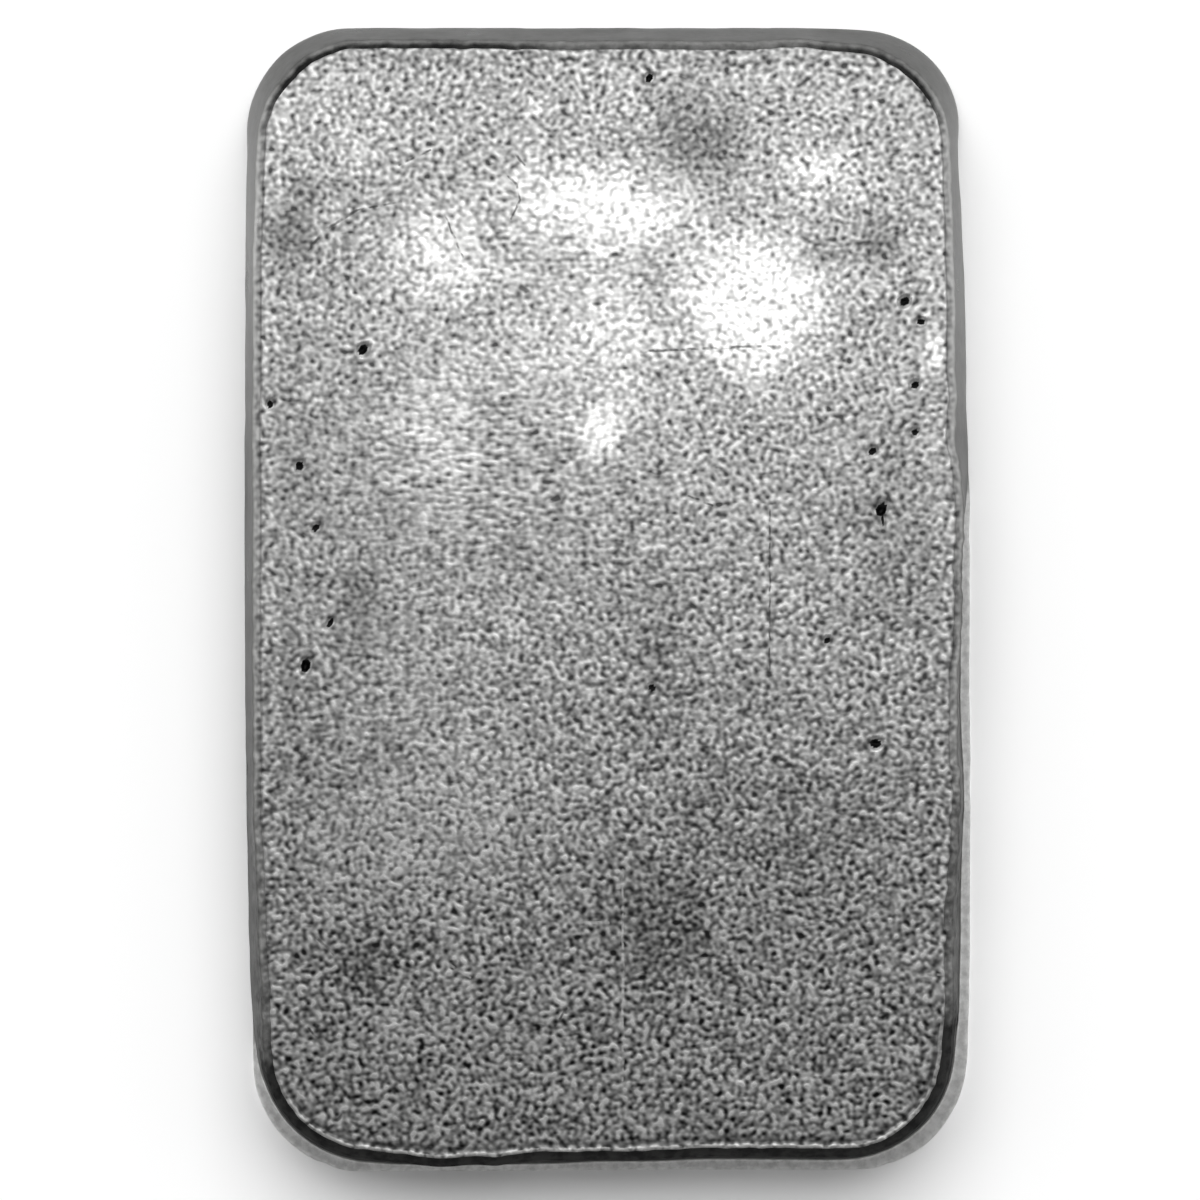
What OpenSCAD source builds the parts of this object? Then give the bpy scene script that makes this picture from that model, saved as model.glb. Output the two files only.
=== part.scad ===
// Small cast silver ingot: a drafted slab with rounded corners, lying on its pour face.
// Millimetres, +Z up, the long side along Y. The origin is the centre of the pour face.

/* [Slab] */
// Length along Y, over the lip
bar_length = 78.6; // [60:0.1:110]
// Width along X, over the lip
bar_width = 50; // [38:0.1:70]
// Thickness, from the pour face up to the mould face
bar_height = 8; // [6:0.1:16]
// Corner radius seen from above, over the lip
corner_radius = 7; // [5:0.1:12]

/* [Edge] */
// Draft of the side walls that lets the bar drop out of its mould, in degrees from upright
draft_angle = 5; // [2:0.5:8]
// Radius of the shoulder between a side wall and the mould face
shoulder_radius = 1; // [0.4:0.1:1.6]
// Slope at which the shoulder starts from the mould face, in degrees
shoulder_break = 20; // [0:1:40]

/* [Lip] */
// How far the lip round the pour face stands out past the foot of the side walls
lip_reach = 0.4; // [0.2:0.1:0.6]
// Flare of the lip where the metal filled the mouth of the mould, in degrees from upright
lip_flare = 40; // [30:1:45]
// Radius of the rounded edge from the lip to the pour face
lip_radius = 0.6; // [0.3:0.1:0.8]

/* [Hidden] */
$fn = 96;

// The straight outline stops this far inside the rounds, so that it crosses them cleanly.
overlap = 0.004;

// Distances in the section are from a corner's axis outwards, and heights from the pour face.
wall_foot = corner_radius - lip_reach;
shoulder_level = bar_height - shoulder_radius * cos(shoulder_break);
shoulder_axis = wall_foot
    - (shoulder_radius + shoulder_level * sin(draft_angle)) / cos(draft_angle);
lip_axis = corner_radius - lip_radius;

// The wall ends inside the shoulder's round, and the flare starts inside the lip's round.
wall_end = [shoulder_axis, shoulder_level]
    + (shoulder_radius - overlap) * [cos(draft_angle), sin(draft_angle)];
flare_start = [lip_axis, lip_radius]
    + (lip_radius - overlap) * [cos(lip_flare), sin(lip_flare)];

// The flare ends where it meets the side wall.
flare_top = (flare_start.x + flare_start.y * tan(lip_flare) - wall_foot)
    / (tan(lip_flare) - tan(draft_angle));
flare_end = [wall_foot - flare_top * tan(draft_angle), flare_top];

// Half distances between the corner axes
corner_x = bar_width / 2 - corner_radius;
corner_y = bar_length / 2 - corner_radius;

// Section inside the rounds: pour face, flare, drafted wall and mould face
module straight_outline() {
    polygon([
        [0, 0],
        [lip_axis, 0],
        [lip_axis, lip_radius],
        flare_start,
        flare_end,
        wall_end,
        [shoulder_axis, bar_height],
        [0, bar_height]
    ]);
}

// Round of the shoulder, cut off level with the mould face
module shoulder_round() {
    intersection() {
        translate([shoulder_axis, shoulder_level]) circle(r = shoulder_radius);
        square([corner_radius, bar_height]);
    }
}

// Round of the lip, which stands on the level of the pour face
module lip_round() {
    translate([lip_axis, lip_radius]) circle(r = lip_radius);
}

// Section of the edge from a corner's axis outwards, with the height along Y
module edge_section() {
    straight_outline();
    shoulder_round();
    lip_round();
}

// Quarter turn of the section, in the corner towards +X and +Y
module corner() {
    rotate_extrude(angle = 90) edge_section();
}

// Straight side of the given length, facing +X and centred on its own axis
module side(length) {
    rotate([90, 0, 0]) linear_extrude(height = length, center = true) edge_section();
}

module ingot() {
    color([0.62, 0.62, 0.6]) {
        translate([-corner_x, -corner_y, 0]) cube([2 * corner_x, 2 * corner_y, bar_height]);
        for (turn = [0, 180]) {
            rotate([0, 0, turn]) {
                translate([corner_x, 0, 0]) side(2 * corner_y);
                translate([0, corner_y, 0]) rotate([0, 0, 90]) side(2 * corner_x);
                translate([corner_x, corner_y, 0]) corner();
                translate([-corner_x, corner_y, 0]) rotate([0, 0, 90]) corner();
            }
        }
    }
}

ingot();
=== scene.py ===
import math

import bpy
import numpy as np
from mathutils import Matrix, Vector


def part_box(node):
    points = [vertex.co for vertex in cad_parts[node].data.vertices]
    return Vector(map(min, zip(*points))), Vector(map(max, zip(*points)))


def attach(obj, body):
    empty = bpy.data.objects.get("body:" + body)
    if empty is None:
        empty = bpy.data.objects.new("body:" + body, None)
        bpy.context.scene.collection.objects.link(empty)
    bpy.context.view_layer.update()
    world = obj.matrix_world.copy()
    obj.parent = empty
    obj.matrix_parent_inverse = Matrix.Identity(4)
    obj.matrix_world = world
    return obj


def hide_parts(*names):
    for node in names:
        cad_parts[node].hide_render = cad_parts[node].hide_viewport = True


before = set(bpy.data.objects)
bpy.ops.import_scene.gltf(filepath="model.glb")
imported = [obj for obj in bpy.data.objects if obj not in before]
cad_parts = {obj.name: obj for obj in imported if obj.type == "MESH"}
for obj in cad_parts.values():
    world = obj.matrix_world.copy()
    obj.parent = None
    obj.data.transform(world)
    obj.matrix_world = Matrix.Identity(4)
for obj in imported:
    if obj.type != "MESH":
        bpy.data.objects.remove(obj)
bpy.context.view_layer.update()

# Lengths are in millimetres, with +Y up the long side of the ingot, unless a name ends in _m.
MM = 0.001
SEED = 41

# The edge section, as in the CAD model but for a flatter lip
CORNER_RADIUS = 7.0
DRAFT = math.radians(5)
SHOULDER_RADIUS = 1.0
SHOULDER_BREAK = math.radians(20)
LIP_REACH = 0.4
# The lip, from the foot of the wall to the pour face: distance out from the corner axes, height
LIP_SECTION = [
    (6.43, 0.78),
    (6.53, 0.66),
    (6.67, 0.58),
    (6.80, 0.50),
    (6.91, 0.40),
    (6.98, 0.26),
    (6.98, 0.10),
    (6.90, 0.00),
]
LIP_START = 6.36
LIP_TOP = 0.95
# Where the lip is missing, the wall runs straight down to a small round at the foot
FOOT_RADIUS = 0.3

# How finely the mesh is divided. The cells are multiples of 4, because the underside has a
# quarter of the divisions. It meets the edge over two bands, this far in from the foot.
SHORT_SIDE_CELLS = 208
LONG_SIDE_CELLS = 336
UNDERSIDE_SHARE = 4
HALF_BAND_INSET = 0.45
UNDERSIDE_INSET = 1.0
SHOULDER_ROWS = 7
WALL_ROWS = 5
# The order of the materials, and the values at the points that they read
FACE_SLOT, WALL_SLOT, POUR_SLOT = range(3)
FACE_VALUES = ("wear_and_glare", "dark", "pit", "ripple", "oxide_and_shade", "inset", "front")
WALL_VALUES = ("lip", "painted_shade", "painted_sheen", "over")

# The grain of the mould face is a sum of layers of dots
GRAIN_PITCH = 0.37
GRAIN_STRETCH = (0.80, 1.0, 1.0)
# Layers over the first: turn in degrees, pitch
TURNED_LAYERS = [(35, 1.1 * GRAIN_PITCH), (-30, 1.03 * GRAIN_PITCH)]
LAYERS_WEIGHT = 0.82
COARSE_GRAIN_PITCH = 2.2 * GRAIN_PITCH
COARSE_GRAIN_WEIGHT = 0.2
DRAWN_PITCH = 0.95 * GRAIN_PITCH
DRAWN_STRETCH = (0.42, 1.0, 1.0)
DRAWN_OFFSET = (-23.0, 41.0, 0.0)
DRAWN_WEIGHT = 1.3

# Relief of the mould face
FACE_SINK = 0.07
SINK_AT_CREASE = 0.25
SINK_LENGTH = 1.5
GRAIN_DEPTH = 0.008
GRAIN_BUMP = 0.0045
DENT_HEIGHT = 0.020
DENT_PITCH = 3.2
WAVE_HEIGHT = 0.06
WAVE_PITCH = 17.0
BEAD_HEIGHT = 0.025
BEAD_INSET = 0.12
BEAD_WIDTH = 0.17
BEAD_AT_SIDES = 0.2
BEAD_LUMP_PITCH = 0.55
GUTTER_INSET = 0.45
GUTTER_WIDTH = 0.20
GUTTER_DEPTH = 0.03
# How far in from the crease the mesh and the material still tell the distance
INSET_LIMIT = 3.0

# The pour face is a shallow dish with gentle lumps
DISH_DEPTH = 0.22
DISH_LUMP_HEIGHT = 0.09
DISH_LUMP_PITCH = 9.0

# The corners are rounder than the CAD model's by this much in radius
CREASE_CORNER_EXTRA = 1.8
FRONT_FOOT_EXTRA = 1.7
FRONT_OUTLINE_EXTRA = 1.0
REAR_OUTLINE_EXTRA = 0.3
# Small random wander of the edge's lines: its height, and its longest and shortest wavelength.
# The crease wanders more on the right side, from the first pair of y to the second.
CREASE_WANDER = 0.03
CREASE_WAVES = (14, 1.1)
RAGGED_CREASE_WANDER = 0.05
RAGGED_START = (-27, -22)
RAGGED_END = (12, 18)
FOOT_WANDER = 0.03
FOOT_WAVES = (60, 6)
LIP_WANDER = 0.015
LIP_WAVES = (30, 2.5)
# The outline stays inside the CAD model's by at least this
OUTLINE_CLEARANCE = 0.01
# How far out of the section the edge lies at places round the outline, anticlockwise from the
# front left: x, y, then the shift of the crease, of the foot of the wall and of the outline
EDGE_SHIFTS = [
    (-18.0, -39.0, -0.25, -0.20, -0.02),
    (-14.2, -39.0, 0.06, 0.05, -0.02),
    (-12.5, -39.0, 0.38, 0.05, -0.02),
    (-10.8, -39.0, 0.42, 0.12, -0.02),
    (-9.1, -39.0, 0.18, 0.18, -0.02),
    (-7.4, -39.0, 0.36, 0.18, -0.02),
    (-5.6, -39.0, 0.00, 0.00, -0.04),
    (-0.5, -39.0, -0.05, -0.05, -0.05),
    (6.3, -39.0, -0.28, -0.22, -0.12),
    (16.5, -39.0, -0.28, -0.30, -0.12),
    (25.0, -31.5, -0.65, -0.60, -0.30),
    (25.0, -29.4, -0.65, -0.42, -0.22),
    (25.0, -28.4, -0.40, -0.28, -0.18),
    (25.0, -20.7, -0.38, -0.18, -0.10),
    (25.0, -13.8, 0.10, 0.08, -0.05),
    (25.0, -6.8, -0.15, -0.25, -0.14),
    (25.0, 0.0, 0.25, -0.20, -0.12),
    (25.0, 6.8, 0.30, 0.02, -0.05),
    (25.0, 10.0, -0.10, -0.15, -0.22),
    (25.0, 13.6, -0.25, -0.38, -0.38),
    (25.0, 20.4, -0.25, -0.45, -0.45),
    (25.0, 27.2, -0.45, -0.72, -0.76),
    (25.0, 31.0, -0.60, -0.93, -0.95),
    (16.0, 39.0, -0.40, -0.07, -0.07),
    (13.2, 39.0, 0.00, -0.02, -0.02),
    (9.0, 39.0, -0.20, -0.02, -0.02),
    (-11.0, 39.0, -0.15, -0.02, -0.02),
    (-17.5, 39.0, 0.00, -0.02, -0.02),
    (-25.0, 31.0, 0.10, -0.20, -0.22),
    (-25.0, 27.0, 0.20, -0.10, -0.10),
    (-25.0, 20.0, 0.35, -0.07, -0.07),
    (-25.0, 0.0, 0.35, -0.01, -0.01),
    (-25.0, -13.8, 0.28, -0.14, -0.14),
    (-25.0, -20.7, 0.00, -0.31, -0.31),
    (-25.0, -26.2, -0.28, -0.41, -0.41),
    (-25.0, -31.5, -0.45, -0.48, -0.55),
]
# The look of the wall at places round the outline, in the same order: x, y, then how much
# painted shade it has, how dark the painted shade line under the crease is, and how much painted
# sheen it has
EDGE_TONES = [
    (-22.9, -37.2, 1.00, 1.00, 0.0),
    (22.9, -37.2, 1.00, 1.00, 0.0),
    (25.0, -30.2, 0.95, 0.90, 0.0),
    (25.0, -29.2, 0.75, 0.60, 0.0),
    (25.0, -28.5, 0.45, 0.30, 0.0),
    (25.0, -25.5, 0.25, 0.20, 0.0),
    (25.0, -20.7, 0.42, 0.30, 0.0),
    (25.0, -13.8, 0.25, 0.30, 0.0),
    (25.0, -6.8, 0.00, 0.10, 0.0),
    (25.0, 0.0, 0.15, 0.35, 0.0),
    (25.0, 8.0, 0.00, 0.10, 0.2),
    (25.0, 13.6, 0.00, 0.00, 0.5),
    (25.0, 20.0, 0.00, 0.00, 0.8),
    (25.0, 31.0, 0.00, 0.10, 0.7),
    (22.9, 37.2, 0.00, 0.90, 0.2),
    (16.0, 39.0, 0.05, 0.70, 0.0),
    (13.0, 39.0, 0.05, 0.25, 0.0),
    (-3.0, 39.0, 0.05, 0.35, 0.0),
    (-8.0, 39.0, 0.05, 0.80, 0.0),
    (-18.0, 39.0, 0.05, 0.65, 0.0),
    (-22.9, 37.2, 0.00, 0.90, 0.1),
    (-25.0, 31.5, 0.00, 0.20, 0.7),
    (-25.0, 26.0, 0.00, 0.00, 1.0),
    (-25.0, 18.0, 0.00, 0.00, 0.7),
    (-25.0, 10.0, 0.00, 0.00, 0.2),
    (-25.0, 0.0, 0.00, 0.00, 0.1),
    (-25.0, -12.0, 0.15, 0.05, 0.0),
    (-25.0, -20.0, 0.25, 0.10, 0.0),
    (-25.0, -29.0, 0.35, 0.20, 0.0),
    (-25.0, -31.7, 0.60, 0.50, 0.0),
    (-24.8, -33.3, 0.90, 0.90, 0.0),
]
# How strong the painted shade line is on each row below the crease, and how far the mould face's
# grain runs on over it
CREASE_SHADE_BY_ROW = (1.0, 1.0, 0.6, 0.35, 0.3, 0.25, 0.2)
GRAIN_BY_ROW = (1.0, 0.8, 0.5, 0.25, 0.1)
# On each side the front's bead and gutter end at this y, over a length each way
STEP_LEFT = -33.0
STEP_LEFT_LENGTH = 2.0
STEP_RIGHT = -28.8
STEP_RIGHT_LENGTH = 0.35
# On each side the lip ends between two y
LIP_END_RIGHT = (4, 11)
LIP_END_LEFT = (-35, -26)
# The oxide and painted shade in the grain's hollows fade out between two y
OXIDE_AND_SHADE_END = (-36, 14)
# The painted shade fades out down the wall between two heights, and the painted shade at the
# foot and the lip's look up it
PAINTED_SHADE_FOOT = (1.0, 3.5)
FOOT_SHADE_TOP = (0.8, 2.2)
LIP_LOOK_TOP = (0.68, 0.88)

# Dents in the lip: x, y, how deep it reaches in, half its length
NOTCHES = [
    (-19.5, -39.2, 0.12, 0.45),
    (19.2, -38.9, 0.20, 0.30),
    (25.0, 4.6, 0.06, 1.20),
    (25.0, -13.0, 0.06, 0.90),
]
# Painted shade low on the wall, at its foot: x, y, radius in x, radius in y, strength
FOOT_SHADE_PATCHES = [
    (-24.9, -11.6, 0.5, 0.8, 0.45),
    (25.0, 4.6, 0.4, 1.2, 0.8),
    (25.0, -6.0, 0.4, 1.5, 0.6),
    (25.0, -14.5, 0.4, 0.5, 0.6),
    (25.0, -29.0, 0.5, 0.9, 0.8),
]
# Pits in the mould face: x, y, radius along, radius across, turn in degrees, depth
PITS = [
    (-16.7, 17.0, 0.36, 0.28, 60, 0.35),
    (2.8, 35.5, 0.34, 0.20, 80, 0.30),
    (20.2, 20.3, 0.34, 0.26, 20, 0.30),
    (21.3, 18.9, 0.26, 0.22, 0, 0.25),
    (20.9, 14.6, 0.28, 0.22, 30, 0.25),
    (20.9, 11.4, 0.24, 0.20, 0, 0.22),
    (-21.0, 9.1, 0.34, 0.26, 120, 0.30),
    (-19.9, 4.9, 0.28, 0.20, 70, 0.25),
    (-23.0, 13.3, 0.30, 0.20, 100, 0.22),
    (18.0, 10.1, 0.30, 0.22, 20, 0.25),
    (18.6, 6.1, 0.46, 0.34, 60, 0.40),
    (18.7, 5.4, 0.45, 0.12, 95, 0.15),
    (-20.6, -4.5, 0.48, 0.30, 80, 0.42),
    (18.2, -9.8, 0.42, 0.26, 170, 0.35),
    (14.9, -2.8, 0.26, 0.20, 45, 0.20),
    (3.0, -6.0, 0.30, 0.20, 120, 0.20),
    (-18.9, -1.6, 0.42, 0.18, 60, 0.20),
]
# Patches where the face is worn flat and bright, with a painted highlight where the glare falls:
# x, y, radius in x, radius in y, strength
WEAR_AND_GLARE_PATCHES = [
    (9.6, 20.0, 5.3, 5.2, 1.1),
    (-0.6, 26.8, 8.5, 3.6, 0.8),
    (-0.3, 11.9, 1.9, 2.2, 0.9),
    (-11.4, 23.3, 4.5, 5.0, 0.80),
    (-1.0, 17.3, 14.0, 6.0, 0.50),
    (-18.8, 32.7, 6.0, 5.0, 0.45),
    (-12.5, 9.1, 1.4, 1.0, 0.7),
    (-4.6, 33.6, 1.3, 1.1, 0.6),
    (-10.2, 15.0, 2.2, 1.4, 0.5),
    (-15.3, 11.5, 1.6, 2.0, 0.5),
    (22.3, 17.0, 0.9, 1.6, 0.6),
    (14.4, 28.7, 3.0, 3.0, 0.5),
    (-11.9, -7.9, 10.0, 10.0, 0.30),
    (-11.5, 11.0, 5.0, 7.0, 0.50),
    (-11.0, -16.5, 10.0, 6.0, 0.50),
    (-11.0, -28.0, 7.0, 6.0, 0.25),
]
# Patches where the face is darker: x, y, radius in x, radius in y, strength
DARK_PATCHES = [
    (2.9, -22.5, 5.0, 5.0, 1.0),
    (6.6, -14.4, 4.0, 3.5, 0.6),
    (-16.5, -24.8, 2.8, 2.8, 0.9),
    (-8.4, -26.6, 1.6, 1.2, 0.8),
    (-16.9, -0.7, 2.2, 5.0, 0.6),
    (18.5, 24.5, 1.8, 1.6, 0.8),
    (6.2, 31.0, 4.0, 4.0, 0.8),
    (-22.0, 24.8, 2.2, 2.4, 0.9),
    (-20.6, 27.6, 1.4, 1.2, 0.7),
    (14.8, 23.6, 1.8, 1.2, 0.5),
    (3.5, -4.0, 3.5, 8.0, 0.50),
    (12.0, -16.5, 9.0, 5.0, 0.55),
    (10.0, -5.0, 9.0, 7.0, 0.25),
    (18.5, 4.0, 3.5, 9.0, 0.50),
    (-22.0, 8.0, 2.5, 9.0, 0.40),
]
# Where the grain is drawn out in X: x, y, radius in x, radius in y, strength
RIPPLE_PATCHES = [
    (-8.9, 8.9, 9.0, 8.0, 0.9),
    (-2.0, 23.8, 11.0, 6.0, 0.5),
    (-14.8, -5.9, 7.0, 8.0, 0.4),
]
# Dark hairlines and cracks: x, y at one end, x, y at the other, half width
DARK_LINES = [
    (2.2, 16.9, 11.7, 17.3, 0.09),
    (11.0, 6.1, 11.0, -4.8, 0.06),
    (-19.3, -36.3, -17.9, -34.9, 0.12),
    (-20.8, -28.6, -19.9, -29.8, 0.08),
    (-3.6, -29.0, -2.8, -27.8, 0.08),
    (-20.5, 23.7, -19.2, 25.2, 0.09),
    (-19.2, 25.2, -17.1, 26.5, 0.09),
    (-17.1, 26.5, -14.1, 27.1, 0.07),
    (-14.2, 29.6, -12.1, 30.6, 0.07),
    (-6.9, 29.0, -6.2, 28.2, 0.07),
    (-6.2, 28.2, -6.0, 27.2, 0.07),
    (-6.0, 27.2, -6.6, 25.9, 0.07),
    (-6.3, 30.4, -5.7, 29.6, 0.08),
    (-11.1, 26.2, -9.9, 23.3, 0.07),
    (-8.5, 22.5, -8.1, 22.3, 0.20),
    (-5.9, 21.2, -5.5, 21.0, 0.20),
    (-1.9, 15.0, -1.6, 15.0, 0.14),
    (0.3, 10.6, 1.5, 10.9, 0.09),
    (5.1, 7.2, 7.1, 6.4, 0.07),
    (-19.8, -23.0, -18.6, -24.2, 0.09),
    (-20.8, -10.6, -20.5, -10.6, 0.20),
]
BRIGHT_LINES = [
    (1.0, -18.4, 1.0, -32.7, 0.08),
    (-1.7, -22.0, 0.0, -22.0, 0.10),
    (-11.1, -24.7, -9.4, -25.7, 0.09),
    (21.6, -25.5, 23.0, -25.5, 0.09),
    (22.6, -28.7, 23.1, -28.4, 0.09),
]


class Graph:
    """Adds nodes to a tree. A value is a number, a vector or another node's socket."""

    def __init__(self, tree):
        self.tree = tree

    def feed(self, socket, value):
        if isinstance(value, bpy.types.NodeSocket):
            self.tree.links.new(value, socket)
        else:
            socket.default_value = value

    def add(self, kind, values=None, **settings):
        node = self.tree.nodes.new(kind)
        for name, value in settings.items():
            setattr(node, name, value)
        for name, value in (values or {}).items():
            self.feed(node.inputs[name], value)
        return node

    def math(self, operation, *values, clamp=False):
        node = self.add("ShaderNodeMath", operation=operation, use_clamp=clamp)
        for socket, value in zip(node.inputs, values):
            self.feed(socket, value)
        return node.outputs[0]

    def vector(self, operation, *values, scale=None):
        node = self.add("ShaderNodeVectorMath", operation=operation)
        for socket, value in zip(node.inputs, values):
            self.feed(socket, value)
        if scale is not None:
            self.feed(node.inputs["Scale"], scale)
        measured = operation in ("LENGTH", "DISTANCE", "DOT_PRODUCT")
        return node.outputs["Value" if measured else "Vector"]

    def total(self, start, *weighted):
        """start plus values times their weights, from pairs of weight and value."""
        for weight, value in weighted:
            start = self.math("MULTIPLY_ADD", value, weight, start)
        return start

    def ramp(self, value, low, high, start=0.0, end=1.0):
        """Value's smooth step from low to high, which goes from start to end."""
        node = self.add("ShaderNodeMapRange", interpolation_type="SMOOTHSTEP")
        for socket, fed in zip(node.inputs, (value, low, high, start, end)):
            self.feed(socket, fed)
        return node.outputs[0]

    def share(self, value, low, high):
        """How far value lies from low to high, from 0 to 1."""
        node = self.add("ShaderNodeMapRange", clamp=True)
        for socket, fed in zip(node.inputs, (value, low, high)):
            self.feed(socket, fed)
        return node.outputs[0]

    def blend(self, share, first, second):
        node = self.add("ShaderNodeMix", data_type="FLOAT")
        self.feed(node.inputs[0], share)
        self.feed(node.inputs[2], first)
        self.feed(node.inputs[3], second)
        return node.outputs[0]

    def blend_colour(self, share, first, second):
        node = self.add("ShaderNodeMix", data_type="RGBA")
        self.feed(node.inputs[0], share)
        self.feed(node.inputs[6], first)
        self.feed(node.inputs[7], second)
        return node.outputs[2]

    def noise(self, place, pitch, detail=2.0, roughness=0.5, stretch=(1, 1, 1), flat=False):
        """Noise from -1 to 1 with features about pitch millimetres apart."""
        scaled = self.vector("MULTIPLY", place, tuple(s / pitch for s in stretch))
        values = {"Vector": scaled, "Scale": 1.0, "Detail": detail, "Roughness": roughness}
        node = self.add("ShaderNodeTexNoise", values, noise_dimensions="2D" if flat else "3D")
        return self.math("MULTIPLY_ADD", node.outputs[0], 2.0, -1.0)

    def line(self, place, x1, y1, x2, y2, half_width):
        """How strongly a place lies on the straight line between two points, from 0 to 1."""
        start = (x1, y1, 0.0)
        along = (x2 - x1, y2 - y1, 0.0)
        length_squared = along[0] ** 2 + along[1] ** 2
        away = self.vector("SUBTRACT", place, start)
        travelled = self.vector("DOT_PRODUCT", away, along)
        share = self.math("DIVIDE", travelled, length_squared, clamp=True)
        nearest = self.vector("SCALE", along, scale=share)
        distance = self.vector("DISTANCE", away, nearest)
        return self.ramp(distance, 0.4 * half_width, 1.6 * half_width, 1.0, 0.0)


# ---- textures of the mould face


def coarse_grain(graph, place):
    """The part of the grain that the mesh carries."""
    return graph.noise(place, COARSE_GRAIN_PITCH, detail=0.0, stretch=GRAIN_STRETCH, flat=True)


def grain(graph, place, rippled):
    """Height of the mould face's grain, from about -1 to 1, at a place in millimetres. The grain
    is drawn out in X where rippled is 1."""
    first = graph.noise(place, GRAIN_PITCH, detail=0.0, stretch=GRAIN_STRETCH, flat=True)
    dots = first
    for turn, pitch in TURNED_LAYERS:
        turned = graph.add("ShaderNodeVectorRotate", {"Vector": place}, rotation_type="Z_AXIS")
        turned.inputs["Angle"].default_value = math.radians(turn)
        other = graph.noise(turned.outputs[0], pitch, detail=0.0, flat=True)
        dots = graph.math("ADD", dots, other)
    dots = graph.math("MULTIPLY", dots, LAYERS_WEIGHT)
    moved = graph.vector("ADD", place, DRAWN_OFFSET)
    drawn = graph.noise(moved, DRAWN_PITCH, detail=0.0, stretch=DRAWN_STRETCH, flat=True)
    fine = graph.blend(rippled, dots, graph.total(first, (DRAWN_WEIGHT, drawn)))
    return graph.total(fine, (COARSE_GRAIN_WEIGHT, coarse_grain(graph, place)))


def lumps(pitch, detail=1.0):
    """The texture of soft lumps this far apart."""

    def texture(graph, place):
        return graph.noise(place, pitch, detail=detail, flat=True)

    return texture


def sampled(places, texture):
    """The values of a texture at these places, the same as a material gives there."""
    mesh = bpy.data.meshes.new("probe")
    mesh.from_pydata((places * MM).tolist(), [], [])
    probe = bpy.data.objects.new("probe", mesh)
    bpy.context.scene.collection.objects.link(probe)
    tree = bpy.data.node_groups.new("probe", "GeometryNodeTree")
    for way in ("INPUT", "OUTPUT"):
        tree.interface.new_socket("Geometry", in_out=way, socket_type="NodeSocketGeometry")
    graph = Graph(tree)
    position = graph.add("GeometryNodeInputPosition").outputs[0]
    value = texture(graph, graph.vector("SCALE", position, scale=1 / MM))
    given = graph.add("NodeGroupInput").outputs[0]
    stored = graph.add("GeometryNodeStoreNamedAttribute", {"Geometry": given, "Name": "found"})
    graph.feed(stored.inputs["Value"], value)
    tree.links.new(stored.outputs[0], graph.add("NodeGroupOutput").inputs[0])
    probe.modifiers.new("probe", "NODES").node_group = tree
    finished = probe.evaluated_get(bpy.context.evaluated_depsgraph_get()).data
    found = np.empty(len(places), np.float32)
    finished.attributes["found"].data.foreach_get("value", found)
    bpy.data.objects.remove(probe)
    bpy.data.meshes.remove(mesh)
    bpy.data.node_groups.remove(tree)
    return found.astype(float)


# ---- the outline and its section


def smoothstep(value, low, high):
    share = np.clip((value - low) / (high - low), 0, 1)
    return share * share * (3 - 2 * share)


def edge_section(height):
    """Rows of the edge from the crease down to the pour face, where the lip is whole, as
    (distance out from the corner axes, height)."""
    level = height - SHOULDER_RADIUS * math.cos(SHOULDER_BREAK)
    wall_foot = CORNER_RADIUS - LIP_REACH
    axis = wall_foot - (SHOULDER_RADIUS + level * math.sin(DRAFT)) / math.cos(DRAFT)
    shoulder = [
        (axis + SHOULDER_RADIUS * math.sin(a), level + SHOULDER_RADIUS * math.cos(a))
        for a in np.linspace(SHOULDER_BREAK, math.pi / 2 - DRAFT, SHOULDER_ROWS)
    ]
    share = np.linspace(0, 1, WALL_ROWS + 1)[1:, None]
    wall = shoulder[-1] + share * (np.array((LIP_START, LIP_TOP)) - shoulder[-1])
    return np.concatenate([shoulder, wall, LIP_SECTION])


def plain_section(section):
    """The same rows where the lip is missing."""
    foot_axis = CORNER_RADIUS - FOOT_RADIUS
    shoulder = section[:SHOULDER_ROWS]
    run = foot_axis + FOOT_RADIUS - shoulder[-1][0]
    slant = math.atan2(run, shoulder[-1][1] - FOOT_RADIUS)
    foot = [
        (foot_axis + FOOT_RADIUS * math.cos(a), FOOT_RADIUS * (1 + math.sin(a)))
        for a in np.linspace(slant, -math.pi / 2, len(LIP_SECTION))
    ]
    share = np.linspace(0, 1, WALL_ROWS + 2)[1:-1, None]
    wall = shoulder[-1] + share * (np.array(foot[0]) - shoulder[-1])
    return np.concatenate([shoulder, wall, foot])


def stations(corner_x, corner_y, radius):
    """Places round the outline, anticlockwise from the middle of the corner at -X and -Y, as the
    point of the corner axes' rectangle that each stands out from, and the direction."""
    bases = []
    outward = []
    quarter = math.pi / 4 * radius
    sides = [
        (corner_x, corner_y, SHORT_SIDE_CELLS, -90),
        (corner_y, corner_x, LONG_SIDE_CELLS, 0),
        (corner_x, corner_y, SHORT_SIDE_CELLS, 90),
        (corner_y, corner_x, LONG_SIDE_CELLS, 180),
    ]
    for half, away, cells, facing in sides:
        along = np.arange(cells) / cells * 2 * (quarter + half) - quarter - half
        straight = np.clip(along, -half, half)
        turn = math.radians(facing) + (along - straight) / radius
        c = math.cos(math.radians(facing))
        s = math.sin(math.radians(facing))
        bases.append(np.stack([away * c - straight * s, away * s + straight * c], 1))
        outward.append(np.stack([np.cos(turn), np.sin(turn)], 1))
    return np.concatenate(bases), np.concatenate(outward)


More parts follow.
